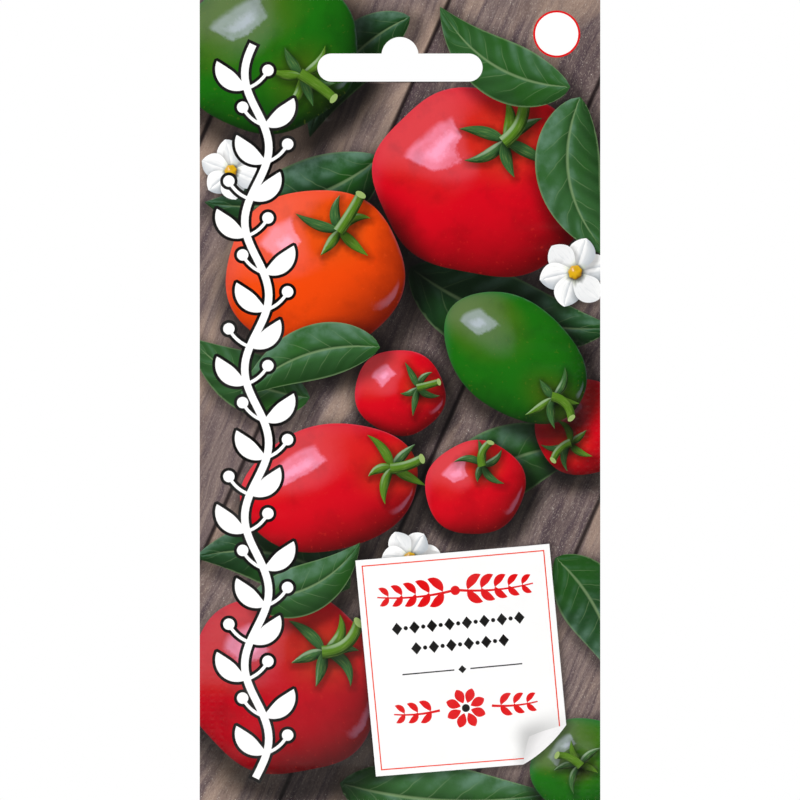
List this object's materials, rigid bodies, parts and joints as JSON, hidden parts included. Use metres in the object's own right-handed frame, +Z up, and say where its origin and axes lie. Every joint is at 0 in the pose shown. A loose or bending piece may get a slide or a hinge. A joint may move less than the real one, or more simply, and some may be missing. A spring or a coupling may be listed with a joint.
{
  "type": "seed packet",
  "caption": "Flat heat-sealed seed packet of printed paper, with a hang slot in its tall header and loose seeds sealed in a shallow pouch.",
  "frame": {"origin": "highest point of the hang slot, where a display peg bears, midway between the two sheets", "axes": "+Z up towards the header's top edge, the printed front faces -Y, +X to the right seen from the front"},
  "size_m": [0.08, 0.0038, 0.16],
  "materials": {
    "front_print": "satin coated paper, printed in full colour",
    "back_print": "satin coated paper, pale with flat printed panels",
    "seed_coat": "dry straw-coloured seed coat"
  },
  "bodies": {
    "root": {"front_sheet": "front_print", "back_sheet": "back_print", "seed_01": "seed_coat", "seed_02": "seed_coat", "seed_03": "seed_coat", "seed_04": "seed_coat", "seed_05": "seed_coat", "seed_06": "seed_coat", "seed_07": "seed_coat", "seed_08": "seed_coat", "seed_09": "seed_coat", "seed_10": "seed_coat", "seed_11": "seed_coat", "seed_12": "seed_coat", "seed_13": "seed_coat", "seed_14": "seed_coat", "seed_15": "seed_coat"}
  },
  "joints": []
}
